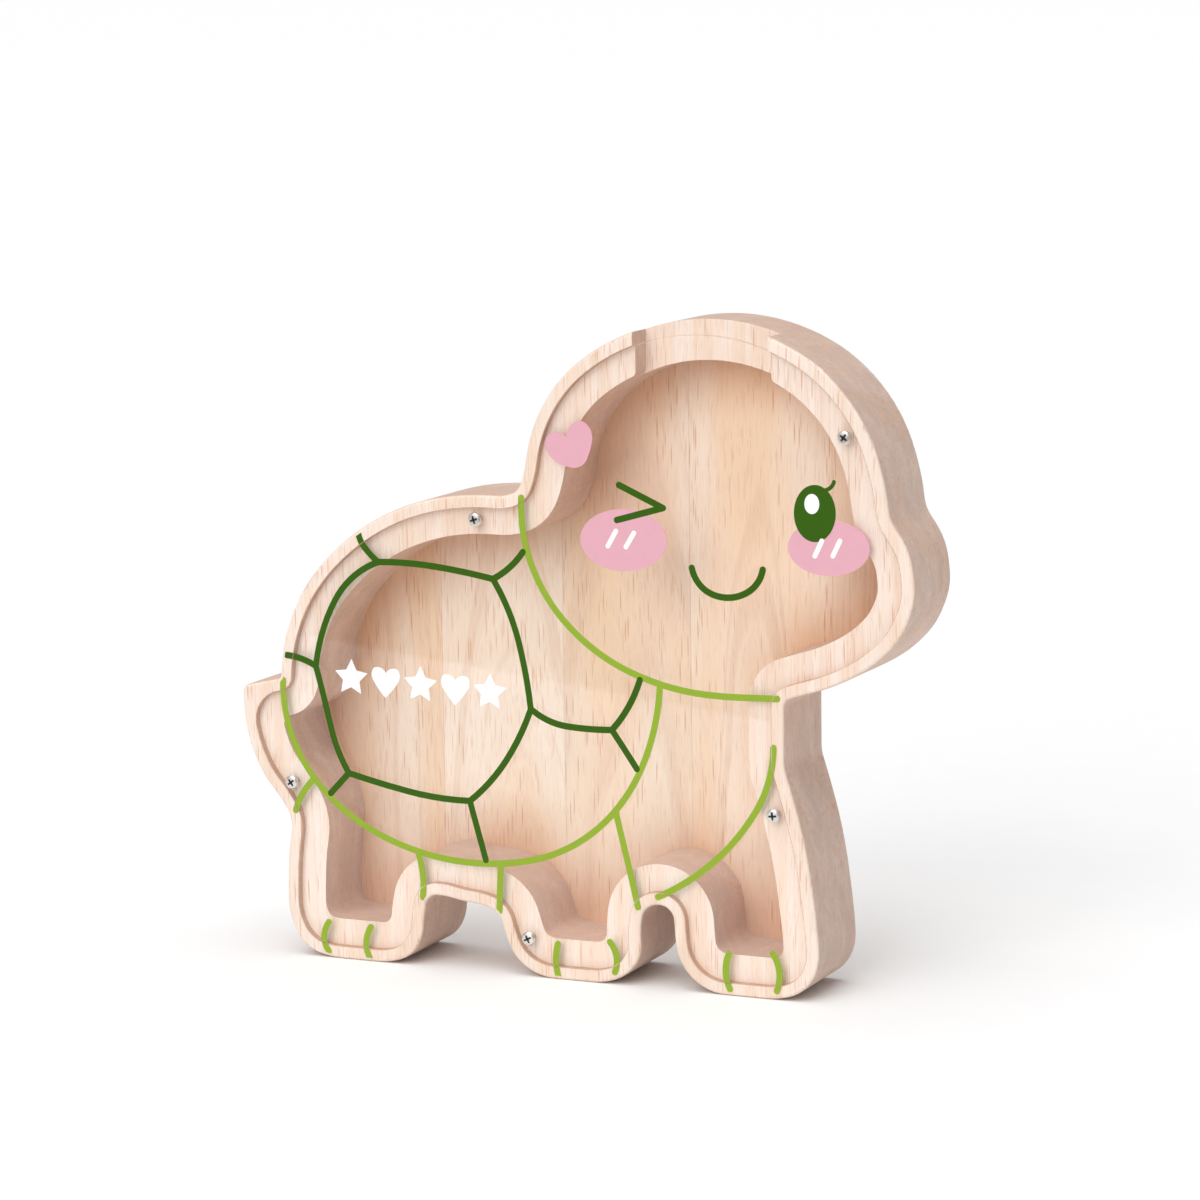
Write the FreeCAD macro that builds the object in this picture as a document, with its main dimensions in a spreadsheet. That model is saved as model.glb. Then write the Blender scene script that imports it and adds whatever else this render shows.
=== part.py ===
# Wooden money box in the shape of a standing turtle.
#
# A thick board frame follows the turtle's outline. An edge-glued board of five
# staves closes it at the back. A clear acrylic panel lies in a step round the
# front edge, held by five pan-head cross-recess screws. A notch in the top of
# the head, behind the panel, is the coin slot. The line drawing on the front is
# printed ink: most of it on the panel, a few line ends on the wooden lip.
#
# Axes: X runs to the viewer's right, the front faces -Y, Z is up.
# Origin: under the middle of the box, on the plane the feet stand on.
import FreeCAD, Part
import math, os

V = FreeCAD.Vector
doc = FreeCAD.newDocument("MoneyBox")

# ---------------------------------------------------------------- dimensions
DIMS = [
    # alias, value, meaning (millimetres)
    ("thickness", 32.0, "depth of the wooden body, front face to back face"),
    ("front_y", -15.35, "Y of the front face of the wooden lip"),
    ("edge_round", 1.0, "rounding along the outer front and back edges"),
    ("wall", 12.3, "width of the frame wall seen from the front"),
    ("cavity_corner", 3.0, "smallest inside corner radius of the cavity"),
    ("lip", 3.8, "width of the wooden lip outside the clear panel"),
    ("panel_corner", 10.0, "smallest outside corner radius of the clear panel"),
    ("panel_gap", 0.3, "play round the edge of the clear panel"),
    ("panel_thick", 2.5, "thickness of the clear panel and depth of its step"),
    ("back_lip", 6.0, "width of the frame left outside the back board"),
    ("back_corner", 4.0, "smallest corner radius of the back board"),
    ("back_gap", 0.3, "glue gap round the back board"),
    ("back_thick", 5.0, "thickness of the back board and depth of its step"),
    ("seam_one", -55.2, "X of the first glued seam of the back board"),
    ("seam_two", -13.2, "X of the second seam"),
    ("seam_three", 29.8, "X of the third seam"),
    ("seam_four", 76.4, "X of the fourth seam"),
    ("notch_left", 23.1, "X of the coin notch's left side"),
    ("notch_right", 66.8, "X of the coin notch's right side"),
    ("notch_depth", 10.4, "depth of the coin notch behind the lip's front face"),
    ("notch_end_round", 1.8, "rounding of the two ledge ends beside the notch"),
    ("head_dia", 4.4, "screw head diameter"),
    ("head_rise", 1.3, "screw head height above the clear panel"),
    ("head_edge", 0.7, "rounding of the screw head's rim"),
    ("shank_dia", 1.9, "screw shank diameter"),
    ("shank_len", 12.0, "screw length under the head, without the tip"),
    ("tip_len", 1.8, "length of the screw's pointed tip"),
    ("cross_wide", 2.4, "span of the cross recess"),
    ("cross_slot", 0.55, "width of each slot of the cross recess"),
    ("cross_deep", 0.8, "depth of the cross recess"),
    ("hole_dia", 2.4, "clearance hole through the clear panel"),
    ("pilot_dia", 2.1, "pilot hole in the wood"),
    ("pilot_deep", 13.0, "pilot hole depth below the ledge"),
    ("ink", 0.15, "thickness of the printed ink"),
    ("ink_edge", 1.15, "distance the ink keeps from the rounded outer edge"),
    ("neck_x", -29.8, "screw at the neck, X"), ("neck_z", 141.7, "screw at the neck, Z"),
    ("crown_x", 90.8, "screw at the back of the head, X"), ("crown_z", 171.1, "screw at the back of the head, Z"),
    ("tail_x", -95.3, "screw below the tail, X"), ("tail_z", 55.6, "screw below the tail, Z"),
    ("knee_x", 67.6, "screw in the front leg, X"), ("knee_z", 56.6, "screw in the front leg, Z"),
    ("toe_x", -13.9, "screw in the middle foot, X"), ("toe_z", 12.1, "screw in the middle foot, Z"),
]
sheet = doc.addObject("Spreadsheet::Sheet", "Dims")
sheet.Label = "Dims"
D = {}
for i, (alias, value, note) in enumerate(DIMS):
    row = i + 1
    sheet.set("A%d" % row, alias)
    sheet.set("B%d" % row, repr(value))
    sheet.set("C%d" % row, note)
    sheet.setAlias("B%d" % row, alias)
    D[alias] = value
doc.recompute()

# ------------------------------------------------------------------- outlines
# The turtle's outline, clockwise from the top of the tail: X, Z and the heading
# in degrees there. Two tangent arcs join each pair of knots, and "line" marks a
# straight stretch to the next knot.
KNOTS = [
    (-98.658, 90.6, 86.05), (-53.206, 145.016, 19.19), (-22.918, 149.3, 357.7), (-14.701, 153.052, 67.19),
    (-11.13, 167.479, 73.21), (31.567, 202.69, 11.34), (101.65, 163.3, 285.5), (103.85, 153.6, 278.5),
    (104.45, 149.4, 279.5), (106.75, 144.3, 306), (110.0, 138.94, 295), (112.3, 127.6, 273),
    (108.95, 114.66, 243), (100.85, 105.08, 220), (94.25, 100.55, 210), (81.3, 94.85, "line"),
    (73.02, 92.26, 197.4), (70.95, 89.41, "line"), (70.95, 73.0, 270), (71.537, 69.292, 288),
    (75.25, 56.95, 285.5), (78.1, 45.04, 281), (81.0, 25.2, 276.5), (81.78, 15.0, 271),
    (77.9, 4.75, 226), (64.462, 0, "line"),
    (51.462, 0, 180), (35.066, 14.677, 95.66), (31.056, 25.819, 165.22), (24.094, 21.649, 260.15),
    (21.461, 6.26, 232.19), (6.962, 0, "line"), (-5.538, 0, 180), (-21.201, 10.063, 111.73),
    (-27.263, 20.446, 162.22), (-39.759, 22.462, 167.36), (-49.21, 20.188, 254.63), (-52.181, 6.796, 241.18),
    (-66.538, 0, "line"), (-79.538, 0, 180), (-94.371, 5.947, 124.35), (-97.542, 31.021, 85.78),
    (-97.918, 47.121, 123.17), (-107.3, 60.04, 116.98), (-112.298, 82.3, "line"), (-112.238, 83.958, 87.91),
    (-110.577, 85.834, "line"), (-99.667, 88.343, 12.95), (-98.739, 89.43, "line"),
]

# The drawn lines. Each row is X, Z and the bulge of the stretch that starts
# there: the tangent of a quarter of its turn, positive to the left.
DARK_STROKES = {
    "cell_left": [
        (-63.376, 126.992, 0.17734), (-78.826, 114.053, 0.09305), (-85.801, 94.148, 0), (-85.95, 93.114, 0),
    ],
    "cell_top": [
        (-63.432, 127.041, -0.03738), (-43.69, 126.516, -0.02222), (-24.116, 123.643, 0),
    ],
    "cell_right": [
        (-24.135, 123.637, -0.08177), (-15.765, 104.677, -0.03714), (-12.049, 84.063, 0),
    ],
    "cell_low_right": [
        (-11.996, 84.065, -0.05954), (-20.627, 67.493, -0.07598), (-33.318, 53.891, 0),
    ],
    "cell_bottom": [
        (-33.301, 53.91, -0.05073), (-54.405, 55.436, -0.01708), (-75.205, 59.82, 0),
    ],
    "cell_low_left": [
        (-75.219, 59.794, -0.08484), (-81.214, 74.288, 0.01018), (-85.046, 89.728, 0.00415), (-85.516, 91.413, 0.00537),
        (-86.018, 93.089, 0),
    ],
    "spur_top": [
        (-70.149, 136.377, 0.15731), (-67.799, 131.141, 0.03948), (-63.432, 127.009, 0),
    ],
    "spur_neck": [
        (-24.116, 123.634, 0.05949), (-18.457, 127.426, 0.05882), (-13.843, 132.438, 0),
    ],
    "spur_left": [
        (-96.16, 96.013, -0.05655), (-90.904, 95.135, -0.05583), (-85.975, 93.108, 0),
    ],
    "spur_low_left": [
        (-75.208, 59.807, 0), (-81.73, 52.975, 0),
    ],
    "spur_low": [
        (-33.307, 53.882, 0), (-28.178, 35.67, 0),
    ],
    "seam_right": [
        (-11.996, 84.065, 0.14234), (0.147, 79.431, 0.03276), (13.651, 79.211, 0), (15.023, 79.28, 0),
    ],
    "seam_up": [
        (15.023, 79.28, 0.05378), (20.613, 86.742, 0.05357), (24.488, 95.223, 0),
    ],
    "seam_down": [
        (15.023, 79.28, -0.00362), (19.126, 73.567, -0.00362), (23.146, 67.796, 0),
    ],
    "wink_up": [
        (18.37, 154.25, 0), (32.66, 147.89, 0),
    ],
    "wink_down": [
        (32.66, 147.89, 0), (17.56, 143.61, 0),
    ],
    "lash": [
        (84.844, 155.42, 0.13693), (86.445, 156.304, 0.13394), (87.368, 157.886, 0),
    ],
    "smile": [
        (41.846, 130.252, 0.2756), (48.882, 122.4, 0.21943), (59.937, 123.841, 0.10151), (63.046, 126.819, 0.10672),
        (64.686, 130.79, 0),
    ],
}
LIGHT_STROKES = {
    "neck": [
        (-14.14, 149.01, 0.10574), (-11.251, 129.198, 0.10138), (-0.637, 112.178, 0.10701), (20.583, 97.725, 0.08158),
        (45.87, 92.019, 0.02155), (57.384, 91.835, 0), (68.906, 92.151, 0),
    ],
    "shell_edge": [
        (-97.744, 88.008, 0.09603), (-95.416, 71.48, 0.09531), (-87.098, 57.002, 0.10259), (-68.28, 42.554, 0.07436),
        (-45.4, 35.43, 0.09211), (-14.188, 36.376, 0.14202), (12.638, 50.898, 0.09322), (24.876, 68.538, 0.07569),
        (30.628, 89.355, 0.00852), (30.867, 91.705, 0.00871), (31.025, 94.062, 0),
    ],
    "tail_mark": [
        (-88.007, 56.69, 0.06291), (-91.8, 52.058, 0.06259), (-94.325, 46.629, 0),
    ],
    "leg_mark_1": [
        (-51.303, 35.467, -0.05436), (-50.031, 28.886, -0.05412), (-50.205, 22.186, 0),
    ],
    "leg_mark_2": [
        (-23.075, 34.174, 0.00478), (-23.533, 27.041, 0.00478), (-23.854, 19.901, 0),
    ],
    "leg_mark_3": [
        (15.996, 53.69, 0), (19.579, 39.381, -0.00528), (22.925, 25.016, 0),
    ],
    "front_leg": [
        (67.643, 77.191, -0.13502), (61.897, 57.402, -0.07242), (48.343, 41.166, -0.03567), (39.433, 34.261, -0.03536),
        (29.635, 28.686, 0),
    ],
    "toe_1": [
        (-83.519, 11.419, 0.12979), (-85.255, 7.415, 0.16392), (-84.514, 3.203, 0.01833), (-84.159, 2.603, 0.01542),
        (-83.763, 2.029, 0),
    ],
    "toe_2": [
        (-68.664, 11.057, 0.13153), (-70.414, 6.225, 0.14474), (-69.391, 1.227, 0.00945), (-69.164, 0.819, 0.00865),
        (-68.922, 0.418, 0),
    ],
    "toe_3": [
        (-4.097, 11.149, 0.07651), (-4.835, 5.78, 0.07586), (-3.931, 0.436, 0),
    ],
    "toe_4": [
        (13.433, 13.284, -0.13764), (15.555, 9.004, -0.1438), (15.084, 4.267, 0), (14.977, 4.013, 0),
    ],
    "toe_5": [
        (52.753, 12.947, 0.11394), (51.633, 7.512, 0.11106), (52.98, 2.12, 0),
    ],
    "toe_6": [
        (67.055, 14.193, -0.13075), (69.119, 8.709, -0.12325), (68.266, 2.889, 0),
    ],
}
# The pink heart behind the head, clockwise from the dip between its lobes: X, Z
# and the bulge of the arc that follows.
BIG_HEART = [
    (1.3289, 168.0735, -0.13714), (2.1522, 171.0619, -0.17184), (4.4939, 172.9908, -0.22461),
    (7.3412, 172.7247, -0.15940), (9.3229, 170.4634, -0.13572), (9.7257, 167.4675, -0.04518),
    (9.0243, 164.4238, -0.03483), (7.8365, 161.5042, -0.16794), (5.7176, 159.3998, -0.14599),
    (2.7325, 158.9203, -0.05609), (-0.3109, 159.6739, -0.06688), (-3.0313, 161.1193, -0.10120),
    (-5.1007, 163.3533, -0.15849), (-5.8019, 166.3333, -0.22549), (-4.3399, 168.8467, -0.19366),
    (-1.4042, 169.4964, -0.15894),
]

WHITE_STROKES = {
    "blush_1": [
        (17.19, 140.26, 0), (14.49, 135.58, 0),
    ],
    "blush_2": [
        (23.09, 139.92, 0), (20.41, 135.55, 0),
    ],
    "blush_3": [
        (83.5, 140.24, 0), (81.27, 135.68, 0),
    ],
    "blush_4": [
        (89.17, 140.5, 0), (86.94, 135.94, 0),
    ],
}


def arc_middle(p, q, bulge):
    """Middle point of the arc from p to q."""
    dx, dz = q[0] - p[0], q[1] - p[1]
    return ((p[0] + q[0]) / 2 + bulge * dz / 2, (p[1] + q[1]) / 2 - bulge * dx / 2)


def chain(knots):
    """Lines and tangent arcs through the knots, as X, Z and bulge."""
    n = len(knots)
    heading = [None] * n
    for i, (x, z, a) in enumerate(knots):
        if a == "line":
            x2, z2 = knots[(i + 1) % n][:2]
            heading[i] = heading[(i + 1) % n] = math.atan2(z2 - z, x2 - x)
        elif heading[i] is None:
            heading[i] = math.radians(a)
    if knots[-1][2] == "line":
        heading[0] = math.atan2(knots[0][1] - knots[-1][1], knots[0][0] - knots[-1][0])
    rows = []
    for i in range(n):
        x, z = knots[i][:2]
        if knots[i][2] == "line":
            rows.append((x, z, 0.0))
            continue
        x2, z2 = knots[(i + 1) % n][:2]
        a, a2 = heading[i], heading[(i + 1) % n]
        t, t2 = (math.cos(a), math.sin(a)), (math.cos(a2), math.sin(a2))
        v = (x2 - x, z2 - z)
        vv = v[0] ** 2 + v[1] ** 2
        vt = v[0] * (t[0] + t2[0]) + v[1] * (t[1] + t2[1])
        k = 2 * (1 - t[0] * t2[0] - t[1] * t2[1])
        if k < 1e-12:
            d = vv / (4 * (v[0] * t2[0] + v[1] * t2[1]))
        else:
            d = (-vt + math.sqrt(vt * vt + k * vv)) / k
        mx = (x + x2 + d * (t[0] - t2[0])) / 2
        mz = (z + z2 + d * (t[1] - t2[1])) / 2
        half = math.atan2(mz - z, mx - x) - a
        half = math.atan2(math.sin(half), math.cos(half))
        half2 = a2 - math.atan2(z2 - mz, x2 - mx)
        half2 = math.atan2(math.sin(half2), math.cos(half2))
        rows.append((x, z, math.tan(half / 2)))
        rows.append((mx, mz, math.tan(half2 / 2)))
    return rows


def add_chain(sketch, rows):
    """Closed chain of lines and arcs into a sketch."""
    n = len(rows)
    for i in range(n):
        p, q, b = rows[i], rows[(i + 1) % n], rows[i][2]
        a, e = V(p[0], p[1], 0), V(q[0], q[1], 0)
        if abs(b) < 1e-9:
            sketch.addGeometry(Part.LineSegment(a, e), False)
        else:
            m = arc_middle(p, q, b)
            sketch.addGeometry(Part.Arc(a, V(m[0], m[1], 0), e), False)


def stroke_outline(rows, half):
    """Closed outline of a drawn line with round ends."""
    n = len(rows)

    def heading(i, at_end):
        p, q = rows[i], rows[i + 1]
        base = math.atan2(q[1] - p[1], q[0] - p[0])
        turn = 2 * math.atan(rows[i][2])
        return base + turn if at_end else base - turn
    normals = []
    for i in range(n):
        if i == 0:
            a = heading(0, False)
        elif i == n - 1:
            a = heading(n - 2, True)
        else:
            a, b = heading(i - 1, True), heading(i, False)
            a += math.atan2(math.sin(b - a), math.cos(b - a)) / 2
        normals.append((-math.sin(a), math.cos(a)))
    left = [(rows[i][0] + normals[i][0] * half, rows[i][1] + normals[i][1] * half) for i in range(n)]
    right = [(rows[i][0] - normals[i][0] * half, rows[i][1] - normals[i][1] * half) for i in range(n)]
    out = [(left[i][0], left[i][1], rows[i][2]) for i in range(n - 1)]
    out.append((left[-1][0], left[-1][1], -1.0))
    for i in range(n - 1, 0, -1):
        out.append((right[i][0], right[i][1], -rows[i - 1][2]))
    out.append((right[0][0], right[0][1], -1.0))
    return out


def plane_of(body, role):
    for feature in body.Origin.OriginFeatures:
        if feature.Role == role:
            return feature


def new_body(name):
    body = doc.addObject("PartDesign::Body", name)
    body.Label = name
    return body


def new_sketch(body, name, role="XZ_Plane"):
    sketch = body.newObject("Sketcher::SketchObject", name)
    sketch.AttachmentSupport = [(plane_of(body, role), "")]
    sketch.MapMode = "FlatFace"
    return sketch


def part(kind, name, **links):
    obj = doc.addObject(kind, name)
    obj.Label = name
    for key, value in links.items():
        setattr(obj, key, value)
    return obj


def bind(obj, **expressions):
    for key, value in expressions.items():
        obj.setExpression(key.replace("__", "."), value)


def offset_line(name, source, value):
    """Outline moved in or out by a distance from the sheet."""
    obj = part("Part::Offset2D", name, Source=source, Fill=False, Intersection=False)
    obj.Value = -1.0 if value.startswith("-") else 1.0
    bind(obj, Value=value)
    return obj


def prism(name, line, start, length):
    """Straight solid on an outline, from a Y, towards the back."""
    obj = part("Part::Extrusion", name, Base=line, DirMode="Custom", Solid=True)
    obj.Dir = V(0, 1, 0)
    obj.LengthFwd = 1.0
    bind(obj, LengthFwd=length, Placement__Base__y=start)
    return obj


def box(name, **e):
    obj = part("Part::Box", name)
    bind(obj, **e)
    return obj


# --------------------------------------------------------------- wooden frame
# The blank is the full outline with its outer edges rounded.
blank = new_body("frame_blank")
outline = new_sketch(blank, "outline")
add_chain(outline, chain(KNOTS))
doc.recompute()
pad = blank.newObject("PartDesign::Pad", "blank_pad")
pad.Profile = outline
pad.Length = 32
bind(pad, Length="Dims.thickness")
bind(blank, Placement__Base__y="Dims.front_y + Dims.thickness")
blank.Tip = pad
doc.recompute()
rim = []
for i, edge in enumerate(pad.Shape.Edges):
    ys = [v.Point.y for v in edge.Vertexes]
    if len(ys) == 2 and abs(ys[0] - ys[1]) < 1e-6:
        rim.append("Edge%d" % (i + 1))
round_edges = blank.newObject("PartDesign::Fillet", "blank_round")
round_edges.Base = (pad, rim)
round_edges.Radius = 1.0
bind(round_edges, Radius="Dims.edge_round")
blank.Tip = round_edges
doc.recompute()

cavity_core = offset_line("cavity_core", outline, "-(Dims.wall + Dims.cavity_corner)")
doc.recompute()
cavity_line = offset_line("cavity_line", cavity_core, "Dims.cavity_corner")
panel_core = offset_line("panel_core", outline, "-(Dims.lip + Dims.panel_corner)")
doc.recompute()
step_line = offset_line("step_line", panel_core, "Dims.panel_corner")
panel_line = offset_line("panel_line", panel_core, "Dims.panel_corner - Dims.panel_gap")
back_core = offset_line("back_core", outline, "-(Dims.back_lip + Dims.back_corner)")
doc.recompute()
back_step_line = offset_line("back_step_line", back_core, "Dims.back_corner")
back_board_line = offset_line("back_board_line", back_core, "Dims.back_corner - Dims.back_gap")
ink_line = offset_line("ink_line", outline, "-Dims.ink_edge")
doc.recompute()

cavity = prism("cavity", cavity_line, "Dims.front_y - 1", "Dims.thickness + 2")
front_step = prism("front_step", step_line, "Dims.front_y - 1", "Dims.panel_thick + 1")
back_step = prism("back_step", back_step_line, "Dims.front_y + Dims.thickness - Dims.back_thick", "Dims.back_thick + 1")
notch = box("notch", Length="Dims.notch_right - Dims.notch_left", Width="Dims.notch_depth + 1", Height="50 mm",
            Placement__Base__x="Dims.notch_left", Placement__Base__y="Dims.front_y - 1", Placement__Base__z="172 mm")

SCREWS = ["neck", "crown", "tail", "knee", "toe"]
pilots, holes = [], []
for s in SCREWS:
    pilot = part("Part::Cylinder", "pilot_" + s)
    pilot.Placement = FreeCAD.Placement(V(0, 0, 0), FreeCAD.Rotation(V(1, 0, 0), -90))
    bind(pilot, Radius="Dims.pilot_dia / 2", Height="Dims.pilot_deep + 1",
         Placement__Base__x="Dims.%s_x" % s, Placement__Base__z="Dims.%s_z" % s,
         Placement__Base__y="Dims.front_y + Dims.panel_thick - 1")
    pilots.append(pilot)
    hole = part("Part::Cylinder", "hole_" + s)
    hole.Placement = FreeCAD.Placement(V(0, 0, 0), FreeCAD.Rotation(V(1, 0, 0), -90))
    bind(hole, Radius="Dims.hole_dia / 2", Height="Dims.panel_thick + 2",
         Placement__Base__x="Dims.%s_x" % s, Placement__Base__z="Dims.%s_z" % s,
         Placement__Base__y="Dims.front_y - 1")
    holes.append(hole)
doc.recompute()

ring = part("Part::Cut", "ring", Base=blank, Tool=cavity)
ring_front = part("Part::Cut", "ring_front", Base=ring, Tool=front_step)
ring_back = part("Part::Cut", "ring_back", Base=ring_front, Tool=back_step)
ring_notch = part("Part::Cut", "ring_notch", Base=ring_back, Tool=notch)
doc.recompute()
# rounded ends of the ledge on both sides of the notch
ends = []
for i, edge in enumerate(ring_notch.Shape.Edges):
    if len(edge.Vertexes) != 2:
        continue
    a, b = edge.Vertexes[0].Point, edge.Vertexes[1].Point
    upright = abs(a.x - b.x) < 1e-6 and abs(a.z - b.z) < 1e-6 and abs(a.y - b.y) > 3
    at_side = min(abs(a.x - D["notch_left"]), abs(a.x - D["notch_right"])) < 1e-6
    if upright and at_side and max(a.y, b.y) < D["front_y"] + D["notch_depth"] + 0.1 and a.z < 194:
        ends.append((i + 1, D["notch_end_round"], D["notch_end_round"]))
print("ledge end edges", ends)
ring_ends = part("Part::Fillet", "ring_ends", Base=ring_notch)
ring_ends.Edges = ends
doc.recompute()
pilot_set = part("Part::MultiFuse", "pilot_set", Shapes=pilots)
frame = part("Part::Cut", "frame", Base=ring_ends, Tool=pilot_set)
doc.recompute()

# ----------------------------------------------------------------- back board
back_board = prism("back_board", back_board_line, "Dims.front_y + Dims.thickness - Dims.back_thick", "Dims.back_thick")
doc.recompute()
SEAMS = ["-130", "Dims.seam_one", "Dims.seam_two", "Dims.seam_three", "Dims.seam_four", "130"]
staves = []
for k in range(5):
    zone = box("stave_zone_%d" % (k + 1), Length="%s - %s" % (SEAMS[k + 1], SEAMS[k] if not SEAMS[k].startswith("-") else "(%s)" % SEAMS[k]),
               Width="Dims.back_thick + 4", Height="240 mm", Placement__Base__x=SEAMS[k],
               Placement__Base__y="Dims.front_y + Dims.thickness - Dims.back_thick - 2", Placement__Base__z="-10 mm")
    staves.append(part("Part::Common", "back_stave_%d" % (k + 1), Base=back_board, Tool=zone))
doc.recompute()

# ---------------------------------------------------------------- clear panel
panel_blank = prism("panel_blank", panel_line, "Dims.front_y", "Dims.panel_thick")
hole_set = part("Part::MultiFuse", "hole_set", Shapes=holes)
panel = part("Part::Cut", "acrylic_panel", Base=panel_blank, Tool=hole_set)
doc.recompute()

# --------------------------------------------------------------------- screws
# Built upright with the underside of the head at zero, then turned so that the
# head points to the front.
screws = []
for s in SCREWS:
    head = part("Part::Cylinder", "head_" + s)
    bind(head, Radius="Dims.head_dia / 2", Height="Dims.head_rise")
    doc.recompute()
    top = [(i + 1, D["head_edge"], D["head_edge"]) for i, e in enumerate(head.Shape.Edges)
           if e.Closed and abs(e.BoundBox.ZMin - D["head_rise"]) < 1e-6 and e.BoundBox.ZLength < 1e-6]
    pan = part("Part::Fillet", "pan_" + s, Base=head)
    pan.Edges = top
    shank = part("Part::Cylinder", "shank_" + s)
    bind(shank, Radius="Dims.shank_dia / 2", Height="Dims.shank_len + 0.2", Placement__Base__z="-Dims.shank_len")
    tip = part("Part::Cone", "tip_" + s)
    bind(tip, Radius1="0.1 mm", Radius2="Dims.shank_dia / 2", Height="Dims.tip_len",
         Placement__Base__z="-Dims.shank_len - Dims.tip_len")
    solid = part("Part::MultiFuse", "solid_" + s, Shapes=[pan, shank, tip])
    slot_a = box("slot_a_" + s, Length="Dims.cross_wide", Width="Dims.cross_slot", Height="Dims.cross_deep + 1",
                 Placement__Base__x="-Dims.cross_wide / 2", Placement__Base__y="-Dims.cross_slot / 2",
                 Placement__Base__z="Dims.head_rise - Dims.cross_deep")
    slot_b = box("slot_b_" + s, Width="Dims.cross_wide", Length="Dims.cross_slot", Height="Dims.cross_deep + 1",
                 Placement__Base__y="-Dims.cross_wide / 2", Placement__Base__x="-Dims.cross_slot / 2",
                 Placement__Base__z="Dims.head_rise - Dims.cross_deep")
    cross = part("Part::MultiFuse", "cross_" + s, Shapes=[slot_a, slot_b])
    doc.recompute()
    screw = part("Part::Cut", "screw_" + s, Base=solid, Tool=cross)
    turn = {"neck": 20, "crown": 65, "tail": 8, "knee": 40, "toe": 75}[s]
    screw.Placement = FreeCAD.Placement(V(0, 0, 0), FreeCAD.Rotation(V(1, 0, 0), 90) * FreeCAD.Rotation(V(0, 0, 1), turn))
    bind(screw, Placement__Base__x="Dims.%s_x" % s, Placement__Base__y="Dims.front_y", Placement__Base__z="Dims.%s_z" % s)
    screws.append(screw)
doc.recompute()

# ---------------------------------------------------------------- printed ink
HALF = 1.0   # half the width of a drawn line
HALF_FINE = 0.75


def ink_body(name, chains, ellipses=()):
    """Every drawn shape of one colour, each a sketch padded by the ink's thickness."""
    body = new_body(name)
    bind(body, Placement__Base__y="Dims.front_y")
    last = None
    jobs = [("chain", key, rows) for key, rows in chains] + [("ellipse", key, e) for key, e in ellipses]
    for kind, key, data in jobs:
        sketch = new_sketch(body, "%s_%s" % (name, key))
        if kind == "chain":
            add_chain(sketch, data)
        else:
            cx, cz, long_half, short_half, angle = data
            a = math.radians(angle)
            c = V(cx, cz, 0)
            sketch.addGeometry(Part.Ellipse(c + V(math.cos(a), math.sin(a), 0) * long_half,
                                            c + V(-math.sin(a), math.cos(a), 0) * short_half, c), False)
        last = body.newObject("PartDesign::Pad", "%s_pad_%s" % (name, key))
        last.Profile = sketch
        last.Length = 0.15
        bind(last, Length="Dims.ink")
        body.Tip = last
        doc.recompute()
    return body


def star(cx, cz, outer, inner, turn=0.0):
    rows = []
    for k in range(10):
        r = outer if k % 2 == 0 else inner
        a = math.radians(90 + 36 * k + turn)
        rows.append((cx + r * math.cos(a), cz + r * math.sin(a), 0.0))
    return rows


def heart(cx, cz, size, lean):
    """Heart of about the given width, leaning by an angle."""
    rows = [(0.0, -0.54, 0.07), (0.46, 0.02, 0.30), (0.44, 0.40, 0.42), (0.0, 0.26, 0.42),
            (-0.44, 0.40, 0.30), (-0.46, 0.02, 0.07)]
    a = math.radians(lean)
    return [(cx + size * (x * math.cos(a) - z * math.sin(a)), cz + size * (x * math.sin(a) + z * math.cos(a)), b)
            for x, z, b in rows]


dark_chains = [(k, stroke_outline(v, 0.6 if k == "lash" else HALF)) for k, v in DARK_STROKES.items()]
ink_dark = ink_body("ink_dark", dark_chains, [("eye", (81.3, 148.3, 8.5, 6.6, 88.0))])
ink_light = ink_body("ink_light", [(k, stroke_outline(v, HALF)) for k, v in LIGHT_STROKES.items()])
white_chains = [(k, stroke_outline(v, HALF_FINE)) for k, v in WHITE_STROKES.items()]
# a plain row of stars and hearts inside the large shell cell
for k, x in enumerate((-73.6, -61.6, -49.6, -37.6, -25.8)):
    z = 90.2 - 0.035 * (x + 75)
    white_chains.append(("sign_%d" % (k + 1), star(x, z, 5.9, 3.0, -2) if k % 2 == 0 else heart(x, z, 9.6, -2)))
ink_white = ink_body("ink_white", white_chains, [("eye_light", (80.4, 151.1, 3.0, 2.35, 88.0))])
ink_pink = ink_body("ink_pink", [("heart", BIG_HEART)],
                    [("cheek_left", (19.6, 137.6, 14.15, 9.4, 2.0)), ("cheek_right", (85.65, 138.25, 12.9, 8.35, 2.0))])

on_panel = prism("on_panel", panel_line, "Dims.front_y - 2", "4 mm")
off_step = prism("off_step", step_line, "Dims.front_y - 3", "6 mm")
inside_edge = prism("inside_edge", ink_line, "Dims.front_y - 2", "4 mm")
lip_zone = part("Part::Cut", "lip_zone", Base=inside_edge, Tool=off_step)
doc.recompute()
dark_net = part("Part::Cut", "dark_net", Base=ink_dark, Tool=ink_white)
light_net = part("Part::Cut", "light_net", Base=ink_light, Tool=ink_dark)
pink_a = part("Part::Cut", "pink_a", Base=ink_pink, Tool=ink_dark)
pink_b = part("Part::Cut", "pink_b", Base=pink_a, Tool=ink_white)
doc.recompute()
print_dark = part("Part::Common", "print_dark_green", Base=dark_net, Tool=on_panel)
print_light = part("Part::Common", "print_light_green", Base=light_net, Tool=on_panel)
print_pink = part("Part::Common", "print_pink", Base=pink_b, Tool=on_panel)
print_white = part("Part::Common", "print_white", Base=ink_white, Tool=on_panel)
lip_dark = part("Part::Common", "lip_print_dark_green", Base=dark_net, Tool=lip_zone)
lip_light = part("Part::Common", "lip_print_light_green", Base=light_net, Tool=lip_zone)
doc.recompute()

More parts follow.
